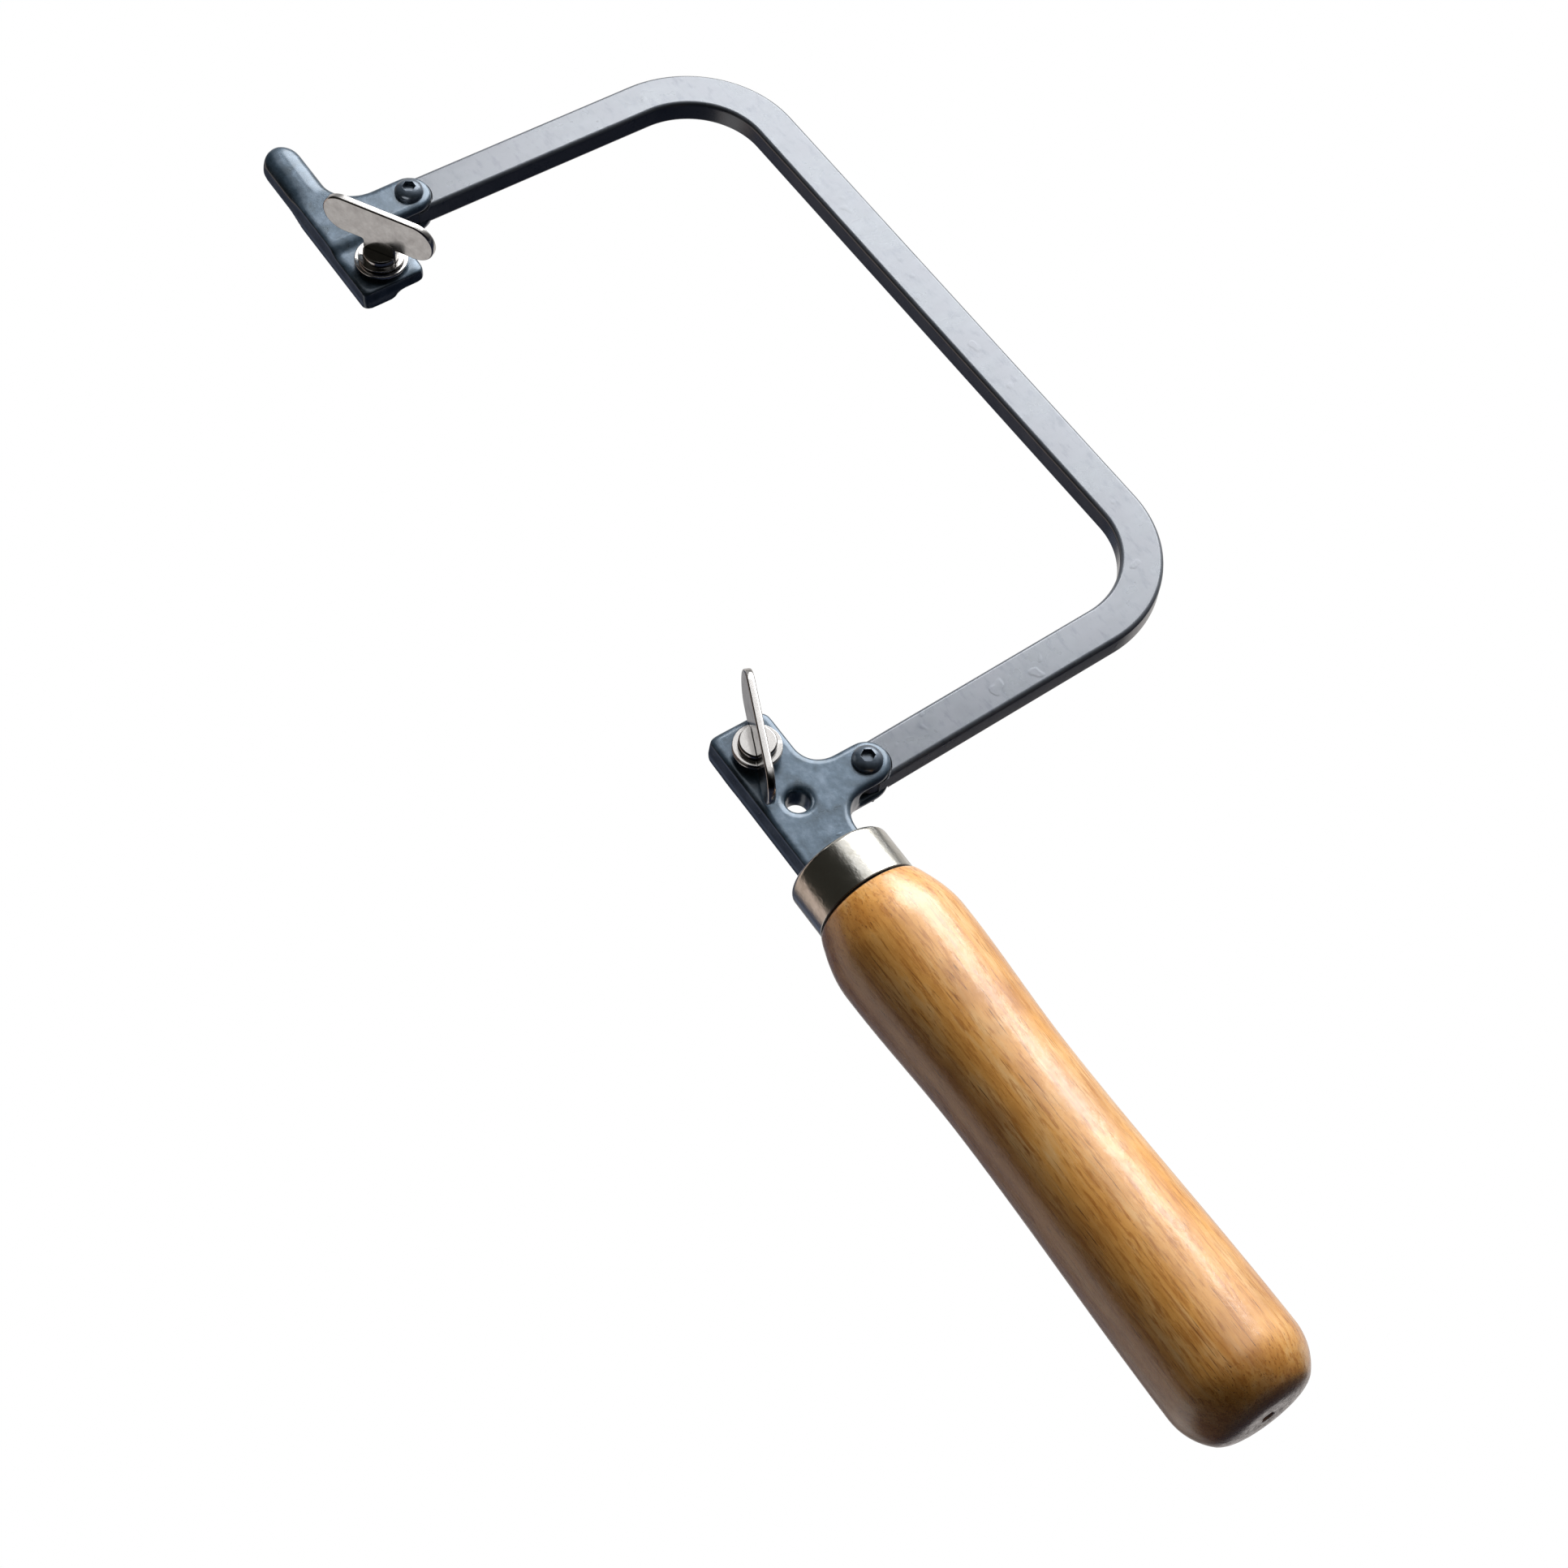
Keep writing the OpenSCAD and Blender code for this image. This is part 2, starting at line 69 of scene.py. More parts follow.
# Tongues milled on the bow's ends, with the edge that the cutter leaves
TONGUE_R, TONGUE_T, SHOULDER_R, PIVOT_HOLE_R = 3.6, 2.4, 4.25, 1.55
CUT_EDGE, CUT_FACETS, CUT_ANGLE = 0.12, 2, 40
# Facets in each bend, along each rounded edge of the bar, and around a tongue
BEND_STEPS, EDGE_STEPS, SLUG_STEPS = 40, 5, 96

# Clamp screws: shank with its M4 thread, and the flange and slotted barrel above it
SHANK_R, ROOT_R, THREAD_DEPTH, THREAD_PITCH = 1.95, 1.6, 0.36, 0.7
FLANGE_T, BARREL_H = 0.5, 1.3
# Where the thread starts above the shank's end and stops under the flange, and the neck there
THREAD_START, THREAD_STOP, NECK = 0.15, 0.05, 0.3
# Facets in each turn of the thread
THREAD_STEPS = 40

# Rounded edges of the metal pieces: radius and facets
SOCKET_EDGE, BUTTON_EDGE, NUT_EDGE = (0.42, 5), (0.22, 3), (0.2, 2)
WING_EDGE, WASHER_EDGE, SCREW_EDGE, FERRULE_EDGE = (0.32, 4), (0.14, 3), (0.1, 2), (0.2, 3)

# Castings: voxel that their skin is made of, and the strength and number of smoothing passes
SKIN_CELL, SKIN_SMOOTH, SKIN_PASSES = 0.22, 0.5, 80
# Growth that gives back what smoothing takes, and its share on faces that look up or down
SKIN_GROWTH, SKIN_GROWTH_UP = 0.38, 0.1
# Draft of the upright walls: taper for each millimetre from the parting plane, and its limit
DRAFT, DRAFT_LIMIT = 0.06, 0.4
# The toe casting's horn is a round rod left of this place along X
HORN_END = -152
HORN_BLEND, HORN_SLICE = 4.0, 0.5
# How far the square is rounded, as a share, and how far that widens the rod and moves it along Y
HORN_ROUND, HORN_WIDEN, HORN_SHIFT = 0.36, 0.9, 1.1

# Handle, along X from the hang hole: hidden spigot, joint, front swell, waist, rear swell, butt
SPIGOT_X, SPIGOT_R, JOINT_X, LIP_X, LIP_R = 12.4, 8.5, 20.98, 21.02, 9.15
FRONT_X, WAIST_X, REAR_X = 31.0, 61.1, 114.8
SWELL_R, WAIST_R = 11.98, 11.03
# Painted shade on the wood beside the ferrule's rim, a dark line for the shaded crease between
# them: where it starts to fade and where it ends
JOINT_SHADE_X, JOINT_SHADE_END_X = 21.08, 21.4
# Facets around the handle
HANDLE_STEPS = 192

# Meshes: points closer than this are one, edges sharper than this are rounded, and facets flatter
# than this are merged. The weight says how far a face's size counts in its corners' shading.
WELD, SHARP, FLAT, NORMAL_WEIGHT = 0.002, 30, 0.5, 60

# Camera, solved from the photograph: place in metres, and its turn
CAMERA_AT, CAMERA_TURN = (0.20572, -0.1769, 0.43723), (32.0914, -3.7188, 55.7570)
CAMERA_LENS, CAMERA_SENSOR = 72.28, 36
# Nearest and farthest things that the camera shows, in metres
CAMERA_NEAR, CAMERA_FAR = 0.01, 10
# Point that the lamps face, in metres
LAMP_AIM = (-0.04, 0.03, 0.0)

# A colour Mix node repeats its sockets' names, so they are picked by number.
MIX_SHARE, MIX_FROM, MIX_TO, MIXED = 0, 6, 7, 2


# ---------------------------------------------------------------- colours and nodes
def rgb(code):
    """Linear colour from an sRGB hex code."""
    parts = [int(code[i:i + 2], 16) / 255 for i in (1, 3, 5)]
    return [c / 12.92 if c <= 0.04045 else ((c + 0.055) / 1.055) ** 2.4 for c in parts] + [1.0]


def add(tree, kind, inputs=None, stops=(), **settings):
    """Adds a node with its settings and returns its outputs. An input is a value, an sRGB hex code
    or another node's output. stops are a colour ramp's places and hex codes."""
    node = tree.nodes.new(kind)
    for name, value in settings.items():
        setattr(node, name, value)
    for name, value in (inputs or {}).items():
        if isinstance(value, bpy.types.NodeSocket):
            tree.links.new(value, node.inputs[name])
        else:
            node.inputs[name].default_value = rgb(value) if isinstance(value, str) else value
    if stops:
        elements = node.color_ramp.elements
        while len(elements) < len(stops):
            elements.new(0.5)
        for element, (place, code) in zip(elements, stops):
            element.position, element.color = place, rgb(code)
    return node.outputs


def cells(*size):
    """Mapping scale that gives a noise cells of this size in mm: one, or one for each axis."""
    return [1 / (s * MM) for s in (size * 3)[:3]]


def new_material(name):
    mat = bpy.data.materials.new(name)
    mat.use_nodes = True
    mat.node_tree.nodes.clear()
    return mat, mat.node_tree


# ---------------------------------------------------------------- materials
def bow_enamel():
    """Steel bar under stoved blue-grey enamel with a little metal powder in it. The powder gives it
    a satin sheen, the spray a faint orange peel with a few runs, and handling darker patches."""
    mat, tree = new_material("bow_enamel")
    place = add(tree, "ShaderNodeTexCoord")["Object"]
    peel_at = add(tree, "ShaderNodeMapping", {"Vector": place, "Scale": cells(3.33)})["Vector"]
    peel = add(tree, "ShaderNodeTexNoise", {"Vector": peel_at, "Scale": 1.0, "Detail": 1.0})["Fac"]
    strokes_at = add(tree, "ShaderNodeMapping",
                     {"Vector": place, "Scale": cells(2, 4.55, 2.5)})["Vector"]
    strokes = add(tree, "ShaderNodeTexNoise",
                  {"Vector": strokes_at, "Scale": 1.0, "Detail": 2.0})["Fac"]
    clouds_at = add(tree, "ShaderNodeMapping", {"Vector": place, "Scale": cells(6.25)})["Vector"]
    clouds = add(tree, "ShaderNodeTexNoise",
                 {"Vector": clouds_at, "Scale": 1.0, "Detail": 3.0, "Roughness": 0.6})["Fac"]
    runs_at = add(tree, "ShaderNodeMapping", {"Vector": place, "Scale": cells(4.17)})["Vector"]
    runs = add(tree, "ShaderNodeTexNoise", {"Vector": runs_at, "Scale": 1.0, "Detail": 1.0})["Fac"]
    runs = add(tree, "ShaderNodeMapRange",
               {"Value": runs, "From Min": 0.7, "From Max": 0.75})["Result"]
    wiped_at = add(tree, "ShaderNodeMapping",
                   {"Vector": place, "Scale": cells(3.33, 1.333, 2)})["Vector"]
    wiped = add(tree, "ShaderNodeTexNoise",
                {"Vector": wiped_at, "Scale": 1.0, "Detail": 4.0, "Roughness": 0.65})["Fac"]

    colour = add(tree, "ShaderNodeValToRGB", {"Fac": strokes},
                 stops=[(0.3, "#61676f"), (0.7, "#696f77")])["Color"]
    cloudy = add(tree, "ShaderNodeMapRange",
                 {"Value": clouds, "From Min": 0.4, "From Max": 0.65, "To Max": 0.7})["Result"]
    colour = add(tree, "ShaderNodeMix", {MIX_SHARE: cloudy, MIX_FROM: colour, MIX_TO: "#6c7079"},
                 data_type="RGBA")[MIXED]
    worn = add(tree, "ShaderNodeMapRange",
               {"Value": wiped, "From Min": 0.52, "From Max": 0.72, "To Max": 0.8})["Result"]
    colour = add(tree, "ShaderNodeMix", {MIX_SHARE: worn, MIX_FROM: colour, MIX_TO: "#535a66"},
                 data_type="RGBA")[MIXED]
    rough = add(tree, "ShaderNodeMapRange", {"Value": clouds, "From Min": 0.3, "From Max": 0.7,
                                             "To Min": 0.25, "To Max": 0.33})["Result"]

    relief = add(tree, "ShaderNodeBump",
                 {"Height": runs, "Distance": 0.04 * MM, "Strength": 0.6})["Normal"]
    relief = add(tree, "ShaderNodeBump", {"Height": strokes, "Distance": 0.01 * MM, "Strength": 0.5,
                                          "Normal": relief})["Normal"]
    relief = add(tree, "ShaderNodeBump", {"Height": peel, "Distance": 0.03 * MM, "Strength": 0.5,
                                          "Normal": relief})["Normal"]
    shader = add(tree, "ShaderNodeBsdfPrincipled",
                 {"Base Color": colour, "Metallic": 0.34, "Roughness": rough, "Normal": relief,
                  "Coat Weight": 0.6, "Coat Roughness": 0.18, "Coat IOR": 1.6})
    add(tree, "ShaderNodeOutputMaterial", {"Surface": shader["BSDF"]})
    return mat


def casting_enamel():
    """Zinc die casting under the same enamel, thinner and darker. The cast skin shows through it as
    soft lumps and small marks, so highlights break up."""
    mat, tree = new_material("casting_enamel")
    place = add(tree, "ShaderNodeTexCoord")["Object"]
    lumps_at = add(tree, "ShaderNodeMapping", {"Vector": place, "Scale": cells(2.5)})["Vector"]
    lumps = add(tree, "ShaderNodeTexNoise",
                {"Vector": lumps_at, "Scale": 1.0, "Detail": 3.0, "Roughness": 0.55})["Fac"]
    fine_at = add(tree, "ShaderNodeMapping", {"Vector": place, "Scale": cells(0.667)})["Vector"]
    fine = add(tree, "ShaderNodeTexNoise",
               {"Vector": fine_at, "Scale": 1.0, "Detail": 3.0, "Roughness": 0.55})["Fac"]
    broad_at = add(tree, "ShaderNodeMapping", {"Vector": place, "Scale": cells(3.33)})["Vector"]
    broad = add(tree, "ShaderNodeTexNoise",
                {"Vector": broad_at, "Scale": 1.0, "Detail": 4.0, "Roughness": 0.65})["Fac"]
    marks_at = add(tree, "ShaderNodeMapping",
                   {"Vector": place, "Scale": cells(1.82, 4, 2)})["Vector"]
    marks = add(tree, "ShaderNodeTexNoise",
                {"Vector": marks_at, "Scale": 1.0, "Detail": 1.0})["Fac"]
    marks = add(tree, "ShaderNodeMapRange",
                {"Value": marks, "From Min": 0.7, "From Max": 0.76})["Result"]

    colour = add(tree, "ShaderNodeValToRGB", {"Fac": broad},
                 stops=[(0.3, "#344450"), (0.5, "#475969"), (0.7, "#607080")])["Color"]
    rough = add(tree, "ShaderNodeMapRange", {"Value": broad, "From Min": 0.3, "From Max": 0.7,
                                             "To Min": 0.26, "To Max": 0.38})["Result"]

    relief = add(tree, "ShaderNodeBump",
                 {"Height": marks, "Distance": 0.06 * MM, "Strength": 0.8})["Normal"]
    relief = add(tree, "ShaderNodeBump", {"Height": fine, "Distance": 0.012 * MM, "Strength": 0.5,
                                          "Normal": relief})["Normal"]
    relief = add(tree, "ShaderNodeBump", {"Height": lumps, "Distance": 0.14 * MM, "Strength": 0.5,
                                          "Normal": relief})["Normal"]
    shader = add(tree, "ShaderNodeBsdfPrincipled",
                 {"Base Color": colour, "Metallic": 0.5, "Roughness": rough, "Normal": relief,
                  "Coat Weight": 0.6, "Coat Roughness": 0.16, "Coat IOR": 1.6})
    add(tree, "ShaderNodeOutputMaterial", {"Surface": shader["BSDF"]})
    return mat


def pivot_enamel():
    """Steel button screws and nuts painted over together with the castings: even, a little duller,
    and thick enough to soften their edges."""
    mat, tree = new_material("pivot_enamel")
    place = add(tree, "ShaderNodeTexCoord")["Object"]
    fine_at = add(tree, "ShaderNodeMapping", {"Vector": place, "Scale": cells(0.833)})["Vector"]
    fine = add(tree, "ShaderNodeTexNoise", {"Vector": fine_at, "Scale": 1.0, "Detail": 3.0})["Fac"]

    colour = add(tree, "ShaderNodeValToRGB", {"Fac": fine},
                 stops=[(0.35, "#4b5866"), (0.65, "#5e6a78")])["Color"]
    rough = add(tree, "ShaderNodeMapRange", {"Value": fine, "From Min": 0.3, "From Max": 0.7,
                                             "To Min": 0.3, "To Max": 0.4})["Result"]
    relief = add(tree, "ShaderNodeBump",
                 {"Height": fine, "Distance": 0.015 * MM, "Strength": 0.5})["Normal"]
    shader = add(tree, "ShaderNodeBsdfPrincipled",
                 {"Base Color": colour, "Metallic": 0.5, "Roughness": rough, "Normal": relief,
                  "Coat Weight": 0.6, "Coat Roughness": 0.2, "Coat IOR": 1.6})
    add(tree, "ShaderNodeOutputMaterial", {"Surface": shader["BSDF"]})
    return mat


def nickel(name, clean, dull, polish, haze, ripple):
    """Bright nickel plate over turned or pressed steel: a clear reflection, hazy in patches from
    handling, and wavy where the steel under it is. polish and haze are the least and greatest
    roughness."""
    mat, tree = new_material(name)
    place = add(tree, "ShaderNodeTexCoord")["Object"]
    smear_at = add(tree, "ShaderNodeMapping", {"Vector": place, "Scale": cells(2)})["Vector"]
    smear = add(tree, "ShaderNodeTexNoise",
                {"Vector": smear_at, "Scale": 1.0, "Detail": 4.0, "Roughness": 0.65})["Fac"]
    hair_at = add(tree, "ShaderNodeMapping",
                  {"Vector": place, "Scale": cells(0.1667, 1.67, 0.5)})["Vector"]
    hair = add(tree, "ShaderNodeTexNoise", {"Vector": hair_at, "Scale": 1.0, "Detail": 2.0})["Fac"]

    shine = add(tree, "ShaderNodeMapRange",
                {"Value": smear, "From Min": 0.3, "From Max": 0.7})["Result"]
    colour = add(tree, "ShaderNodeMix", {MIX_SHARE: shine, MIX_FROM: dull, MIX_TO: clean},
                 data_type="RGBA")[MIXED]
    rough = add(tree, "ShaderNodeMapRange", {"Value": smear, "From Min": 0.3, "From Max": 0.7,
                                             "To Min": haze, "To Max": polish})["Result"]
    relief = add(tree, "ShaderNodeBump",
                 {"Height": smear, "Distance": ripple * MM, "Strength": 0.5})["Normal"]
    relief = add(tree, "ShaderNodeBump", {"Height": hair, "Distance": 0.01 * MM, "Strength": 0.3,
                                          "Normal": relief})["Normal"]
    shader = add(tree, "ShaderNodeBsdfPrincipled",
                 {"Base Color": colour, "Metallic": 1.0, "Roughness": rough, "Normal": relief})
    add(tree, "ShaderNodeOutputMaterial", {"Surface": shader["BSDF"]})
    return mat


def lacquered_beech():
    """Steamed beech turned between centres, under gloss lacquer. Beech gives it a warm tan with
    short dark flecks along the grain, and the lacquer a white highlight that the pores break up.
    A dark line where the wood meets the ferrule is painted shade for the shaded crease between
    them. Real flecks are about 0.1 mm wide; they are drawn twice as wide so that they show."""
    mat, tree = new_material("lacquered_beech")
    place = add(tree, "ShaderNodeTexCoord")["Object"]
    grain_at = add(tree, "ShaderNodeMapping",
                   {"Vector": place, "Scale": cells(20, 2.86, 2.86)})["Vector"]
    grain = add(tree, "ShaderNodeTexNoise", {"Vector": grain_at, "Scale": 1.0, "Detail": 5.0,
                                             "Roughness": 0.65, "Distortion": 0.4})["Fac"]
    streak_at = add(tree, "ShaderNodeMapping",
                    {"Vector": place, "Scale": cells(5.88, 0.526, 0.526)})["Vector"]
    streak = add(tree, "ShaderNodeTexNoise", {"Vector": streak_at, "Scale": 1.0, "Detail": 4.0,
                                              "Roughness": 0.7, "Distortion": 0.5})["Fac"]
    fleck_at = add(tree, "ShaderNodeMapping",
                   {"Vector": place, "Scale": cells(6.25, 0.2273, 0.2273)})["Vector"]
    flecks = add(tree, "ShaderNodeTexNoise",
                 {"Vector": fleck_at, "Scale": 1.0, "Detail": 2.0, "Roughness": 0.55})["Fac"]
    patch_at = add(tree, "ShaderNodeMapping",
                   {"Vector": place, "Scale": cells(14.29, 7.14, 7.14)})["Vector"]
    patches = add(tree, "ShaderNodeTexNoise",
                  {"Vector": patch_at, "Scale": 1.0, "Detail": 3.0, "Roughness": 0.6})["Fac"]
    pores_at = add(tree, "ShaderNodeMapping",
                   {"Vector": place, "Scale": cells(1.43, 0.769, 0.769)})["Vector"]
    pores = add(tree, "ShaderNodeTexNoise",
                {"Vector": pores_at, "Scale": 1.0, "Detail": 3.0, "Roughness": 0.6})["Fac"]

    colour = add(tree, "ShaderNodeValToRGB", {"Fac": grain},
                 stops=[(0.3, "#de963f"), (0.5, "#f6b25a"), (0.7, "#fdcb88")])["Color"]
    streaky = add(tree, "ShaderNodeMapRange",
                  {"Value": streak, "From Min": 0.5, "From Max": 0.62, "To Max": 0.75})["Result"]
    colour = add(tree, "ShaderNodeMix", {MIX_SHARE: streaky, MIX_FROM: colour, MIX_TO: "#c17625"},
                 data_type="RGBA")[MIXED]
    patchy = add(tree, "ShaderNodeMapRange",
                 {"Value": patches, "From Min": 0.48, "From Max": 0.7, "To Max": 0.6})["Result"]
    colour = add(tree, "ShaderNodeMix", {MIX_SHARE: patchy, MIX_FROM: colour, MIX_TO: "#bb7630"},
                 data_type="RGBA")[MIXED]
    marked = add(tree, "ShaderNodeMapRange",
                 {"Value": flecks, "From Min": 0.62, "From Max": 0.72})["Result"]
    crowded = add(tree, "ShaderNodeMapRange",
                  {"Value": patches, "From Min": 0.35, "From Max": 0.6, "To Min": 0.45})["Result"]
    spots = add(tree, "ShaderNodeMath",
                {0: marked, 1: crowded}, operation="MULTIPLY", use_clamp=True)[0]
    colour = add(tree, "ShaderNodeMix", {MIX_SHARE: spots, MIX_FROM: colour, MIX_TO: "#7d4413"},
                 data_type="RGBA")[MIXED]
    along = add(tree, "ShaderNodeMapping", {"Vector": place, "Scale": cells(1)})["Vector"]
    along = add(tree, "ShaderNodeSeparateXYZ", {"Vector": along})["X"]
    # Painted shade: the wood darkens to a line at the ferrule's rim, for the shaded crease there
    joint_shade = add(tree, "ShaderNodeMapRange", {"Value": along, "From Min": JOINT_SHADE_X, "From Max": JOINT_SHADE_END_X,
                                            "To Min": 1.0, "To Max": 0.0})["Result"]
    colour = add(tree, "ShaderNodeMix", {MIX_SHARE: joint_shade, MIX_FROM: colour, MIX_TO: "#24150b"},
                 data_type="RGBA")[MIXED]

    sheen = add(tree, "ShaderNodeMapRange", {"Value": pores, "From Min": 0.35, "From Max": 0.65,
                                             "To Min": 0.1, "To Max": 0.32})["Result"]
    wood = add(tree, "ShaderNodeBump",
               {"Height": streak, "Distance": 0.03 * MM, "Strength": 0.4})["Normal"]
    lacquer = add(tree, "ShaderNodeBump",
                  {"Height": patches, "Distance": 0.3 * MM, "Strength": 0.5})["Normal"]
    lacquer = add(tree, "ShaderNodeBump", {"Height": pores, "Distance": 0.075 * MM, "Strength": 0.5,
                                           "Normal": lacquer})["Normal"]
    shader = add(tree, "ShaderNodeBsdfPrincipled",
                 {"Base Color": colour, "Roughness": 0.42, "Specular IOR Level": 0.9,
                  "Normal": wood, "Coat Weight": 1.0, "Coat Roughness": sheen, "Coat IOR": 1.64,
                  "Coat Normal": lacquer})
    add(tree, "ShaderNodeOutputMaterial", {"Surface": shader["BSDF"]})
    return mat


# ---------------------------------------------------------------- meshes
def finish_piece(obj, mat, body, nodes):
    """Gives a piece its material, the body it rides on and the CAD nodes it replaces."""
    obj.data.materials.clear()
    obj.data.materials.append(mat)
    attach(obj, body)
    if nodes:
        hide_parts(*nodes)


def place_mesh(name, mesh):
    """Object for a finished mesh, shaded smooth."""
    for face in mesh.polygons:
        face.use_smooth = True
    obj = bpy.data.objects.new(name, mesh)
    bpy.context.scene.collection.objects.link(obj)
    return obj


def mesh_object(name, verts, faces):
    mesh = bpy.data.meshes.new(name)
    mesh.from_pydata(verts, [], faces)
    mesh.validate()
    return place_mesh(name, mesh)


def bake(obj):
    """Turns an object's modifiers into plain mesh."""
    depsgraph = bpy.context.evaluated_depsgraph_get()
    mesh = bpy.data.meshes.new_from_object(obj.evaluated_get(depsgraph))
    obj.modifiers.clear()
    obj.data = mesh


def welded_copy(node):
    """A CAD node's loose triangles, copied into one mesh and joined where they meet."""
    mesh = frame["nodes"][node].data.copy()
    bm = bmesh.new()
    bm.from_mesh(mesh)
    bmesh.ops.remove_doubles(bm, verts=bm.verts, dist=WELD * MM)
    return mesh, bm


def round_edges(bm, radius, facets, pick=None):
    """Rounds the sharp edges that pick accepts, or all of them."""
    edges = [e for e in bm.edges if len(e.link_faces) == 2
             and e.calc_face_angle() > math.radians(SHARP) and (pick is None or pick(e))]
    if edges:
        bmesh.ops.bevel(bm, geom=edges, offset=radius * MM, offset_type="OFFSET", segments=facets,
                        profile=0.5, affect="EDGES", clamp_overlap=True, miter_outer="ARC")


def weigh_normals(obj):
    """Shades large faces flat and keeps the rounding to the narrow ones beside them."""
    normals = obj.modifiers.new("normals", "WEIGHTED_NORMAL")
    normals.weight = NORMAL_WEIGHT
    normals.keep_sharp = False


def softened(node, name, mat, rounds, change=None):
    """Copy of a CAD node with its edges rounded as the real process leaves them. rounds lists
    ((radius, facets), pick) steps, the widest edges first, and change reshapes it first."""
    mesh, bm = welded_copy(node)
    if change:
        change(bm)
    bmesh.ops.dissolve_limit(bm, angle_limit=math.radians(FLAT), verts=bm.verts, edges=bm.edges)
    for (radius, facets), pick in rounds:
        round_edges(bm, radius, facets, pick)
    bm.to_mesh(mesh)
    bm.free()
    obj = place_mesh(name, mesh)
    weigh_normals(obj)
    bake(obj)
    finish_piece(obj, mat, frame["nodes"][node]["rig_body"], [node])


def centre(node):
    """Middle of a CAD node in the bow's plane."""
    low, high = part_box(node)
    return Vector(((low.x + high.x) / 2, (low.y + high.y) / 2, 0))


def socket_mouth(node, band=0.05, reach=1.5):
    """Accepts the edges around the hexagon socket in a screw's top face."""
    at, top = centre(node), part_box(node)[1][2]

    def pick(edge):
        return all(abs(v.co.z - top) < band * MM and (v.co.xy - at.xy).length < reach * MM
                   for v in edge.verts)
    return pick


# ---------------------------------------------------------------- clamp screws
def neck_shank(at, below, margin=0.02, depth=0.6):
    """Turns a clamp screw's plain shank down to its thread's root, below the given height."""
    def change(bm):
        for v in bm.verts:
            out = v.co.xy - at.xy
            r = out.length
            if v.co.z < below and (SHANK_R - depth) * MM < r < (SHANK_R + margin) * MM:
                v.co.xy = at.xy + out * min(1, ROOT_R * MM / r)
    return change


def clamp_thread(name, at, low, high, body, mat, sink=0.1, crest=0.12, run_out=1.2, start=0.02):
    """Rolled thread: one closed ridge that winds up the screw's core from low to high.
    sink hides its foot in the core, crest is its top's share of its foot's width, and run_out and
    start let it grow from nothing at both ends."""
    foot = THREAD_PITCH / 2
    turns = (high - low - THREAD_PITCH) / THREAD_PITCH
    count = int(turns * THREAD_STEPS)
    core = SHANK_R - THREAD_DEPTH
    verts, faces = [], []
    for i in range(count + 1):
        t = i / count
        a = 2 * math.pi * i / THREAD_STEPS
        z = low + foot + (high - low - THREAD_PITCH) * t
        grown = min(1.0, t * turns * run_out + start, (1 - t) * turns * run_out + start)
        top = core + THREAD_DEPTH * grown
        for r, dz in ((core - sink, -foot), (top, -crest * foot),
                      (top, crest * foot), (core - sink, foot)):
            verts.append((at.x + r * MM * math.cos(a), at.y + r * MM * math.sin(a), (z + dz) * MM))
    sides = 4
    for i in range(count):
        for k in range(sides):
            m = (k + 1) % sides
            faces.append((i * sides + k, i * sides + m, (i + 1) * sides + m, (i + 1) * sides + k))
    faces.append(tuple(range(sides)))
    faces.append(tuple(count * sides + k for k in reversed(range(sides))))
    finish_piece(mesh_object(name, verts, faces), mat, body, [])


# ---------------------------------------------------------------- castings
def round_horn(bm):
    """Turns the horn's square section into a round one, slice by slice along X."""
    extent = {}
    for v in bm.verts:
        e = extent.setdefault(round(v.co.x / (HORN_SLICE * MM)), [v.co.y, v.co.y, v.co.z, v.co.z])
        e[:] = min(e[0], v.co.y), max(e[1], v.co.y), min(e[2], v.co.z), max(e[3], v.co.z)
    tiny = 0.001 * MM
    for v in bm.verts:
        if v.co.x > HORN_END * MM:
            continue
        k = HORN_ROUND * min(1.0, (HORN_END - v.co.x / MM) / HORN_BLEND)
        y0, y1, z0, z1 = extent[round(v.co.x / (HORN_SLICE * MM))]
        cy, hy, cz, hz = (y0 + y1) / 2, (y1 - y0) / 2 + tiny, (z0 + z1) / 2, (z1 - z0) / 2 + tiny
        a, b = (v.co.y - cy) / hy, (v.co.z - cz) / hz
        v.co.y = cy + hy * a * math.sqrt(1 - k * b * b) + k * (HORN_WIDEN * a + HORN_SHIFT) * MM
        v.co.z = cz + hz * b * math.sqrt(1 - k * a * a)


def cast_skin(node, name, mat, shape=None):
    """A casting's real skin over its CAD node, within the node's box: drafted walls, soft edges and
    filled corners. shape changes the skin before it is smoothed."""
    low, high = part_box(node)
    mesh, bm = welded_copy(node)
    bm.to_mesh(mesh)
    bm.free()
    obj = place_mesh(name, mesh)
    remesh = obj.modifiers.new("skin", "REMESH")
    remesh.mode = "VOXEL"
    remesh.voxel_size = SKIN_CELL * MM
    bake(obj)
    if shape:
        bm = bmesh.new()
        bm.from_mesh(obj.data)
        shape(bm)
        bm.to_mesh(obj.data)
        bm.free()
    smooth = obj.modifiers.new("smooth", "SMOOTH")
    smooth.factor, smooth.iterations = SKIN_SMOOTH, SKIN_PASSES
    bake(obj)
    bm = bmesh.new()
    bm.from_mesh(obj.data)
    bm.normal_update()
    for v in bm.verts:
        n = v.normal
        taper = min(DRAFT_LIMIT * MM, DRAFT * abs(v.co.z)) * (1 - abs(n.z))
        grown = v.co + Vector((n.x, n.y, SKIN_GROWTH_UP * n.z)) * SKIN_GROWTH * MM
        held = Vector([min(max(c, a), b) for c, a, b in zip(grown, low, high)])
        v.co = held - Vector((n.x, n.y, 0)) * taper
    bm.to_mesh(obj.data)
    bm.free()
    for face in obj.data.polygons:
        face.use_smooth = True
    finish_piece(obj, mat, frame["nodes"][node]["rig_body"], [node])


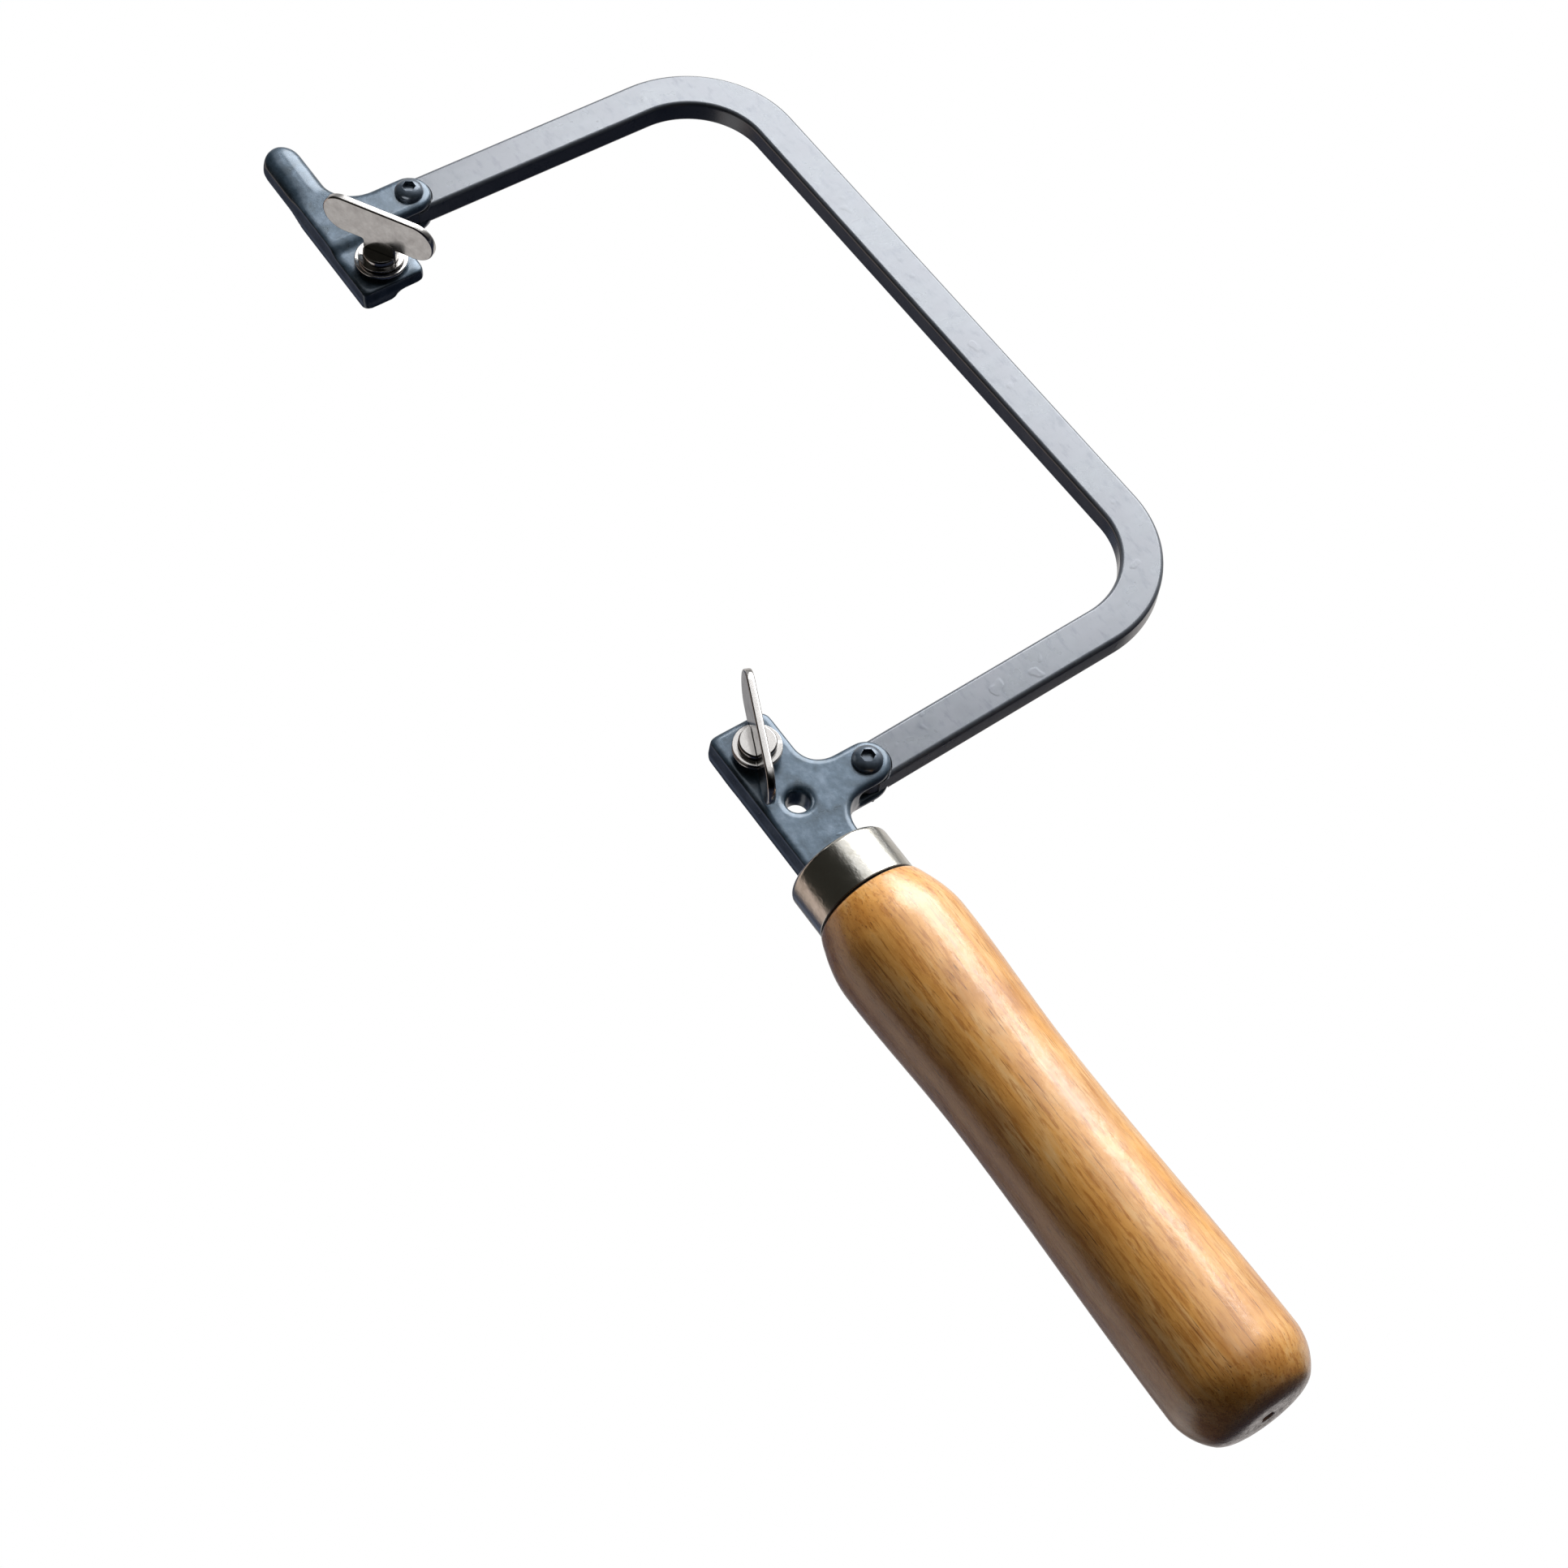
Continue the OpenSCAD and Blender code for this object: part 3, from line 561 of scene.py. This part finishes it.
# ---------------------------------------------------------------- bow
def bent_bar_tree(mat):
    """Geometry Nodes tree that sweeps a bar with rounded edges along a line with bent corners."""
    tree = bpy.data.node_groups.new("bent_bar", "GeometryNodeTree")
    tree.interface.new_socket("Line", in_out="INPUT", socket_type="NodeSocketGeometry")
    for name in ("Width", "Thickness", "Bend Radius", "Edge Radius"):
        tree.interface.new_socket(name, in_out="INPUT", socket_type="NodeSocketFloat")
    tree.interface.new_socket("Bar", in_out="OUTPUT", socket_type="NodeSocketGeometry")
    given = add(tree, "NodeGroupInput")
    path = add(tree, "GeometryNodeMeshToCurve", {"Mesh": given["Line"]})["Curve"]
    path = add(tree, "GeometryNodeFilletCurve",
               {"Curve": path, "Count": BEND_STEPS, "Radius": given["Bend Radius"]},
               mode="POLY")["Curve"]
    path = add(tree, "GeometryNodeSetCurveNormal", {"Curve": path}, mode="Z_UP")["Curve"]
    section = add(tree, "GeometryNodeCurvePrimitiveQuadrilateral",
                  {"Width": given["Width"], "Height": given["Thickness"]})["Curve"]
    section = add(tree, "GeometryNodeFilletCurve",
                  {"Curve": section, "Count": EDGE_STEPS, "Radius": given["Edge Radius"]},
                  mode="POLY")["Curve"]
    bar = add(tree, "GeometryNodeCurveToMesh",
              {"Curve": path, "Profile Curve": section, "Fill Caps": True})["Mesh"]
    bar = add(tree, "GeometryNodeRealizeInstances", {"Geometry": bar})["Geometry"]
    bar = add(tree, "GeometryNodeSetMaterial", {"Geometry": bar, "Material": mat})["Geometry"]
    add(tree, "NodeGroupOutput", {"Bar": bar})
    return tree


def slug(at, radius, low, high):
    """Round slug along Z, for the bow's tongues and for what is milled off them."""
    ring = [(radius * MM * math.cos(2 * math.pi * i / SLUG_STEPS),
             radius * MM * math.sin(2 * math.pi * i / SLUG_STEPS)) for i in range(SLUG_STEPS)]
    verts = [(at.x + x, at.y + y, z * MM) for z in (low, high) for x, y in ring]
    faces = [tuple(reversed(range(SLUG_STEPS))), tuple(range(SLUG_STEPS, 2 * SLUG_STEPS))]
    for i in range(SLUG_STEPS):
        j = (i + 1) % SLUG_STEPS
        faces.append((i, j, SLUG_STEPS + j, SLUG_STEPS + i))
    mesh = bpy.data.meshes.new("slug")
    mesh.from_pydata(verts, [], faces)
    obj = bpy.data.objects.new("slug", mesh)
    bpy.context.scene.collection.objects.link(obj)
    return obj


def build_bow(mat):
    """Bar swept along the bow's centre line, with a tongue milled on each end."""
    toe, heel = centre("toe_pivot_screw"), centre("heel_pivot_screw")
    toe_corner = toe + Vector((math.tan(math.radians(TOE_LEAN)), 1, 0)) * TOE_DEPTH * MM
    heel_corner = heel + Vector((-math.tan(math.radians(HEEL_LEAN)), 1, 0)) * HEEL_DEPTH * MM
    corners = [toe, toe_corner, heel_corner, heel]
    bar = mesh_object("bow_bar", corners, [])
    bar.data.edges.add(len(corners) - 1)
    for i, edge in enumerate(bar.data.edges):
        edge.vertices = (i, i + 1)
    sweep = bar.modifiers.new("sweep", "NODES")
    sweep.node_group = bent_bar_tree(mat)
    sizes = {"Width": BAR_W, "Thickness": BAR_T, "Bend Radius": BEND_R, "Edge Radius": BAR_EDGE}
    for item in sweep.node_group.interface.items_tree:
        if item.name in sizes:
            sweep[item.identifier] = sizes[item.name] * MM
    bake(bar)
    slugs = []
    for pivot in (toe, heel):
        slugs += [(slug(pivot, TONGUE_R, -TONGUE_T / 2, TONGUE_T / 2), "UNION"),
                  (slug(pivot, SHOULDER_R, TONGUE_T / 2, BAR_T), "DIFFERENCE"),
                  (slug(pivot, SHOULDER_R, -BAR_T, -TONGUE_T / 2), "DIFFERENCE"),
                  (slug(pivot, PIVOT_HOLE_R, -BAR_T, BAR_T), "DIFFERENCE")]
    for tool, action in slugs:
        cut = bar.modifiers.new("cut", "BOOLEAN")
        cut.object, cut.operation, cut.solver = tool, action, "EXACT"
    edge = bar.modifiers.new("edges", "BEVEL")
    edge.width, edge.segments, edge.angle_limit = CUT_EDGE * MM, CUT_FACETS, math.radians(CUT_ANGLE)
    weigh_normals(bar)
    for face in bar.data.polygons:
        face.use_smooth = True
    bake(bar)
    for tool, _ in slugs:
        bpy.data.objects.remove(tool)
    finish_piece(bar, mat, "bow", ["bow"])


# ---------------------------------------------------------------- handle
def swell(start, end, t):
    """Radius at share t of the way between two levels, level at both ends."""
    return start + (end - start) * (1 - math.cos(math.pi * t)) / 2


def curve(p, q, r, steps):
    """Points of a quadratic curve after its start p, pulled towards q, to r."""
    points = []
    for i in range(1, steps + 1):
        t = i / steps
        points.append(tuple((1 - t) ** 2 * p[k] + 2 * t * (1 - t) * q[k] + t * t * r[k]
                            for k in (0, 1)))
    return points


def handle_profile():
    """(x, radius) points from the hidden spigot, over the shoulder and both swells, to the butt."""
    points = [(SPIGOT_X, SPIGOT_R), (JOINT_X, SPIGOT_R), (LIP_X, LIP_R)]
    points += curve((LIP_X, LIP_R), (21.06, 9.5), (21.3, 9.72), 4)
    # Shoulder: a quarter sine from under the lip to the front swell
    start_x, start_r, rise, skipped, steps = 20.6, 9.5, 2.48, 0.06, 16
    for i in range(1, steps + 1):
        t = skipped + (1 - skipped) * i / steps
        points.append((start_x + (FRONT_X - start_x) * t,
                       start_r + rise * math.sin(math.pi / 2 * t)))
    for x0, x1, r0, r1, steps in ((FRONT_X, WAIST_X, SWELL_R, WAIST_R, 20),
                                  (WAIST_X, REAR_X, WAIST_R, SWELL_R, 30)):
        points += [(x0 + (x1 - x0) * i / steps, swell(r0, r1, i / steps))
                   for i in range(1, steps + 1)]
    # Butt: a large round, a tighter one, and the dimple that the lathe's centre left
    butt_r, butt_run, steps = 10.4, 7.3, 14
    for i in range(1, steps + 1):
        d = butt_run * i / steps
        points.append((REAR_X + d, SWELL_R - butt_r + math.sqrt(butt_r ** 2 - d ** 2)))
    points += curve(points[-1], (123.25, 7.6), (123.45, 4.6), 8)
    points += [(123.47, 3.0), (123.4, 2.2), (123.46, 1.4), (123.4, 1.1), (123.1, 0.75),
               (122.85, 0.3), (122.8, 0.04)]
    return points


def build_handle(mat):
    """Handle turned about the X axis."""
    profile, n = handle_profile(), HANDLE_STEPS
    verts, faces = [], []
    for x, r in profile:
        for i in range(n):
            a = 2 * math.pi * i / n
            verts.append((x * MM, r * MM * math.cos(a), r * MM * math.sin(a)))
    for k in range(len(profile) - 1):
        for i in range(n):
            j = (i + 1) % n
            faces.append((k * n + i, k * n + j, (k + 1) * n + j, (k + 1) * n + i))
    faces.append(tuple(reversed(range(n))))
    faces.append(tuple(range(len(verts) - n, len(verts))))
    turned = mesh_object("turned_handle", verts, faces)
    finish_piece(turned, mat, "handle_group", ["handle"])


# ---------------------------------------------------------------- all pieces
def build_saw():
    cast, pivot = casting_enamel(), pivot_enamel()
    plate = nickel("nickel_plate", "#dad8d6", "#bfbcba", polish=0.1, haze=0.2, ripple=0.01)
    tube = nickel("ferrule_plate", "#eae8e2", "#d5d1c7", polish=0.16, haze=0.27, ripple=0.13)
    build_bow(bow_enamel())
    cast_skin("toe_jaw", "toe_casting", cast, shape=round_horn)
    cast_skin("heel_jaw", "heel_casting", cast)
    for end in ("toe", "heel"):
        softened(end + "_pivot_screw", end + "_pivot_button", pivot,
                 [(SOCKET_EDGE, socket_mouth(end + "_pivot_screw")), (BUTTON_EDGE, None)])
        softened(end + "_pivot_nut", end + "_pivot_hex", pivot, [(NUT_EDGE, None)])
        softened(end + "_wing", end + "_wing_plate", plate, [(WING_EDGE, None)])
        softened(end + "_clamp_washer", end + "_washer", plate, [(WASHER_EDGE, None)])
        screw = end + "_thumb_screw"
        at, (low, high) = centre(screw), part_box(screw)
        flange = high.z / MM - BARREL_H - FLANGE_T
        softened(screw, end + "_screw", plate, [(SCREW_EDGE, None)],
                 change=neck_shank(at, (flange - NECK) * MM))
        clamp_thread(end + "_thread", at, low.z / MM + THREAD_START, flange - THREAD_STOP,
                     end + "_screw", plate)
    softened("ferrule", "ferrule_tube", tube, [(FERRULE_EDGE, None)])
    build_handle(lacquered_beech())


# ---------------------------------------------------------------- light, background and camera
def build_world():
    """Studio room around the X axis, and the white page behind the saw.

    A ramp's place around the X axis runs from the front (0) down under the table (0.25), to the
    back (0.5), up to the ceiling (0.75) and on to the front. The page is for camera rays only: the
    photographed ferrule and wings reflect a room with dark walls, so glossy rays see that room."""
    world = bpy.data.worlds.new("studio")
    bpy.context.scene.world = world
    world.use_nodes = True
    tree = world.node_tree
    tree.nodes.clear()
    dark, grey, white = "#2c2b27", "#9b9996", "#ffffff"
    back_wall = [(0.4, "#d6d3d0"), (0.47, grey), (0.5, grey)]
    ceiling = [(0.52, white), (0.73, white), (0.765, dark), (1.0, dark)]
    # Seen to either side, past the table's ends: a warm strip, then the unlit floor in bands
    beside = [(0.0, dark), (0.028, dark), (0.05, "#cebcb2"), (0.12, "#baa99f"), (0.15, "#2a3040"),
              (0.164, "#4d556a"), (0.18, "#191d28"), (0.205, "#666f84"), (0.24, "#4b4f5a"),
              (0.3, "#d9d6d4")]
    # Seen straight across: the pale table top
    across = [(0.0, dark), (0.03, dark), (0.06, "#cfccca"), (0.19, "#c4c1bf"), (0.24, "#4b4c50"),
              (0.3, "#d0cac8")]

    ray = add(tree, "ShaderNodeTexCoord")["Generated"]
    x, y, z = add(tree, "ShaderNodeSeparateXYZ", {"Vector": ray})
    angle = add(tree, "ShaderNodeMath", {0: z, 1: y}, operation="ARCTAN2")[0]
    around = add(tree, "ShaderNodeMapRange",
                 {"Value": angle, "From Min": -math.pi, "From Max": math.pi})["Result"]
    along = add(tree, "ShaderNodeMapRange",
                {"Value": x, "From Min": -1.0, "From Max": 1.0})["Result"]
    ends = add(tree, "ShaderNodeValToRGB",
               {"Fac": around}, stops=beside + back_wall + ceiling)["Color"]
    middle = add(tree, "ShaderNodeValToRGB",
                 {"Fac": around}, stops=across + back_wall + ceiling)["Color"]
    table = add(tree, "ShaderNodeValToRGB", {"Fac": along},
                stops=[(0.35, "#000000"), (0.45, white), (0.56, white), (0.65, "#000000")])["Color"]
    room = add(tree, "ShaderNodeMix", {MIX_SHARE: table, MIX_FROM: ends, MIX_TO: middle},
               data_type="RGBA")[MIXED]
    # The ceiling is brightest over the bow and falls off past the handle's butt.
    fall = add(tree, "ShaderNodeValToRGB", {"Fac": along},
               stops=[(0.1, "#a8a8a8"), (0.18, white), (0.44, white), (0.6, "#747474"),
                      (0.78, "#1c1c1c")])["Color"]
    shaded = add(tree, "ShaderNodeMix", {MIX_SHARE: 1.0, MIX_FROM: room, MIX_TO: fall},
                 data_type="RGBA", blend_type="MULTIPLY")[MIXED]
    above = add(tree, "ShaderNodeMapRange",
                {"Value": z, "From Min": 0.0, "From Max": 0.1})["Result"]
    room = add(tree, "ShaderNodeMix", {MIX_SHARE: above, MIX_FROM: room, MIX_TO: shaded},
               data_type="RGBA")[MIXED]
    # Dark corner below and to the right, on the camera's side of the room
    low = add(tree, "ShaderNodeMapRange", {"Value": z, "From Min": 0.3, "From Max": -0.1})["Result"]
    right = add(tree, "ShaderNodeMapRange",
                {"Value": x, "From Min": 0.2, "From Max": 0.32})["Result"]
    corner = add(tree, "ShaderNodeMath", {0: low, 1: right}, operation="MULTIPLY")[0]
    room = add(tree, "ShaderNodeMix", {MIX_SHARE: corner, MIX_FROM: room, MIX_TO: "#262b3a"},
               data_type="RGBA")[MIXED]

    light = add(tree, "ShaderNodeBackground", {"Color": room, "Strength": 1.0})["Background"]
    page = add(tree, "ShaderNodeBackground", {"Color": white, "Strength": 1.0})["Background"]
    seen = add(tree, "ShaderNodeLightPath")["Is Camera Ray"]
    both = add(tree, "ShaderNodeMixShader", {0: seen, 1: light, 2: page})["Shader"]
    add(tree, "ShaderNodeOutputWorld", {"Surface": both})


def area_light(name, direction, distance, size, power, glossy=True):
    """Square lamp that faces the saw, with distance and size in metres and power in watts."""
    data = bpy.data.lights.new(name, "AREA")
    data.shape = "RECTANGLE"
    data.size = data.size_y = size
    data.energy = power
    obj = bpy.data.objects.new(name, data)
    bpy.context.scene.collection.objects.link(obj)
    towards = Vector(direction).normalized()
    obj.location = Vector(LAMP_AIM) + towards * distance
    obj.rotation_euler = towards.to_track_quat("Z", "Y").to_euler()
    obj.visible_glossy = glossy


def build_studio():
    build_world()
    area_light("window_softbox", (-0.5, 0.655, 0.567), distance=1.2, size=0.876, power=11.5)
    # Fill light off the ceiling, which the world already shows to glossy rays
    area_light("ceiling_bounce", (-0.62, 0.5, 0.6), distance=2.4, size=1.0, power=33.5,
               glossy=False)


def build_camera():
    data = bpy.data.cameras.new("camera")
    data.lens, data.sensor_width = CAMERA_LENS, CAMERA_SENSOR
    data.clip_start, data.clip_end = CAMERA_NEAR, CAMERA_FAR
    obj = bpy.data.objects.new("camera", data)
    bpy.context.scene.collection.objects.link(obj)
    obj.location = CAMERA_AT
    obj.rotation_euler = Euler([math.radians(a) for a in CAMERA_TURN], "XYZ")
    bpy.context.scene.camera = obj


build_saw()
build_studio()
build_camera()
bpy.context.scene.view_settings.view_transform = "Standard"
